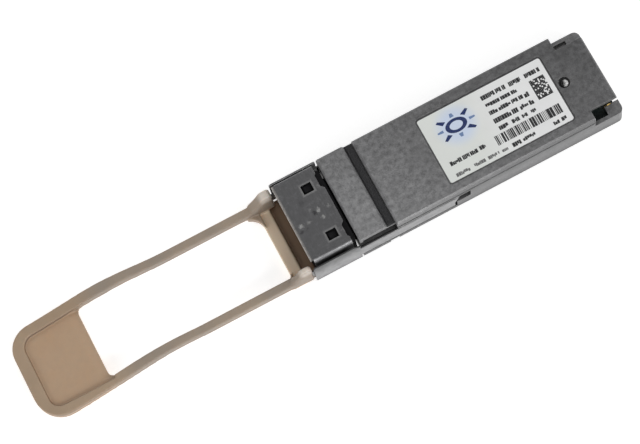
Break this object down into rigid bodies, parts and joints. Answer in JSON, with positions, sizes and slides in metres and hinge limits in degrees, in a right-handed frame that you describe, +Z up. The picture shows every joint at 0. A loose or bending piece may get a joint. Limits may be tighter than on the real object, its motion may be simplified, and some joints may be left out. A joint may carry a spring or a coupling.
{
  "type": "optical transceiver module",
  "caption": "Slim die-cast pluggable fibre-optic module: ribbon-fibre port in a sheet-metal nose, white printed label, card edge at the rear and a soft beige pull tab on a sprung latch slider.",
  "frame": {"origin": "on the flat underside of the body, on its mid-plane, at the plane where the front edge of the cage comes (11.9 mm behind the nose edge)", "axes": "+X is the direction the module is pushed into its cage, from the pull tab to the card edge; +Z up out of the label face; +Y to the left when looking along +X"},
  "size_m": [0.1217, 0.0199, 0.0085],
  "materials": {
    "die_cast_top": "satin, fine cast grain",
    "die_cast_bottom": "satin, fine cast grain",
    "sheet_steel": "satin",
    "slider_steel": "satin",
    "tab_elastomer": "matt moulded",
    "gasket": "matt",
    "label_film": "semi-matt printed film",
    "port_plastic": "matt moulded",
    "ferrule_resin": "polished end",
    "pin_steel": "ground",
    "ribbon": "coated fibre",
    "lens_resin": "clear amber",
    "silicon": "polished",
    "chip_resin": "moulded",
    "board": "solder mask",
    "gold": "hard gold plating",
    "thermal_silicone": "soft matt",
    "screw_steel": "plated",
    "spring_steel": "drawn wire",
    "ceramic": "fired",
    "ferrite": "pressed"
  },
  "bodies": {
    "module": {"top_shell": "die_cast_top", "bottom_shell": "die_cast_bottom", "emi_gasket_top": "gasket", "emi_gasket_bottom": "gasket", "closure_screw": "screw_steel", "front_screw_left": "screw_steel", "front_screw_right": "screw_steel", "receptacle_cover": "sheet_steel", "mpo_receptacle": "port_plastic", "mt_ferrule": "ferrule_resin", "guide_pin_left": "pin_steel", "guide_pin_right": "pin_steel", "pin_keeper": "pin_steel", "fibre_ribbon": "ribbon", "circuit_board": "board", "contact_fingers_top": "gold", "contact_fingers_bottom": "gold", "laser_driver_chip": "silicon", "receiver_amplifier_chip": "silicon", "laser_array": "silicon", "photodiode_array": "silicon", "lens_block": "lens_resin", "retimer_chip": "chip_resin", "thermal_pad_top": "thermal_silicone", "microcontroller": "chip_resin", "capacitor_1": "ceramic", "capacitor_2": "ceramic", "capacitor_3": "ceramic", "capacitor_4": "ceramic", "capacitor_5": "ceramic", "capacitor_6": "ceramic", "power_inductor": "ferrite", "thermal_pad_bottom": "thermal_silicone", "label": "label_film", "return_spring_left": "spring_steel", "return_spring_right": "spring_steel"},
    "slider": {"latch_slider": "slider_steel", "pull_tab": "tab_elastomer"}
  },
  "joints": [
    {"name": "latch_slide", "type": "slide", "parent": "module", "child": "slider", "axis": [-1, 0, 0], "range_m": [0, 0.0026], "stiffness_N_per_m": 1500, "springref_m": -0.0015, "deforming": ["return_spring_left", "return_spring_right"]}
  ]
}
